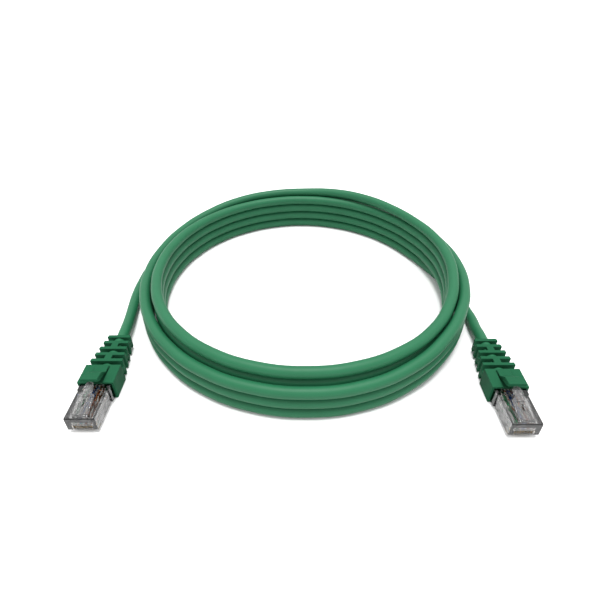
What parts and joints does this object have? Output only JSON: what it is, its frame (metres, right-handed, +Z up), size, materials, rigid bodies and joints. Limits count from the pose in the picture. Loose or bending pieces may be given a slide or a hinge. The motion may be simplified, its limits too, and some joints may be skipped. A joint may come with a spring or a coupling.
{
  "type": "ethernet patch cable",
  "caption": "Coiled round four-pair patch cable with a clear modular plug, a sprung latch and a moulded ribbed boot on each end.",
  "frame": {"origin": "centre of the footprint, on the surface that the cable and its boots lie on", "axes": "+Z up, -Y the way both plug noses point, +X to the right when the noses point at the viewer"},
  "size_m": [0.1816, 0.1817, 0.0263],
  "materials": {
    "jacket": "satin extruded PVC, green",
    "boot": "satin moulded PVC, green",
    "clear_plastic": "clear polycarbonate, slightly smoky",
    "contact": "gold-plated phosphor bronze",
    "white_green": "white insulation with a green stripe",
    "green": "green insulation",
    "white_orange": "white insulation with an orange stripe",
    "blue": "blue insulation",
    "white_blue": "white insulation with a blue stripe",
    "orange": "orange insulation",
    "white_brown": "white insulation with a brown stripe",
    "brown": "brown insulation"
  },
  "bodies": {
    "root": {"cord_coil": "jacket", "cord_tail_left": "jacket", "cord_tail_right": "jacket", "plug_housing_left": "clear_plastic", "contact_blades_left": "contact", "boot_left": "boot", "wire_1_white_green_left": "white_green", "wire_2_green_left": "green", "wire_3_white_orange_left": "white_orange", "wire_4_blue_left": "blue", "wire_5_white_blue_left": "white_blue", "wire_6_orange_left": "orange", "wire_7_white_brown_left": "white_brown", "wire_8_brown_left": "brown", "plug_housing_right": "clear_plastic", "contact_blades_right": "contact", "boot_right": "boot", "wire_1_white_green_right": "white_green", "wire_2_green_right": "green", "wire_3_white_orange_right": "white_orange", "wire_4_blue_right": "blue", "wire_5_white_blue_right": "white_blue", "wire_6_orange_right": "orange", "wire_7_white_brown_right": "white_brown", "wire_8_brown_right": "brown"},
    "latch_left": {"latch_lever_left": "clear_plastic"},
    "latch_right": {"latch_lever_right": "clear_plastic"}
  },
  "joints": [
    {"name": "latch_left_press", "type": "hinge", "parent": "root", "child": "latch_left", "pos_m": [-0.0835, -0.0871, 0.008], "axis": [1, 0, 0], "range_deg": [-13, 0], "stiffness_Nm_per_rad": 0.2},
    {"name": "latch_right_press", "type": "hinge", "parent": "root", "child": "latch_right", "pos_m": [0.0835, -0.0895, 0.008], "axis": [1, 0, 0], "range_deg": [-13, 0], "stiffness_Nm_per_rad": 0.2}
  ]
}
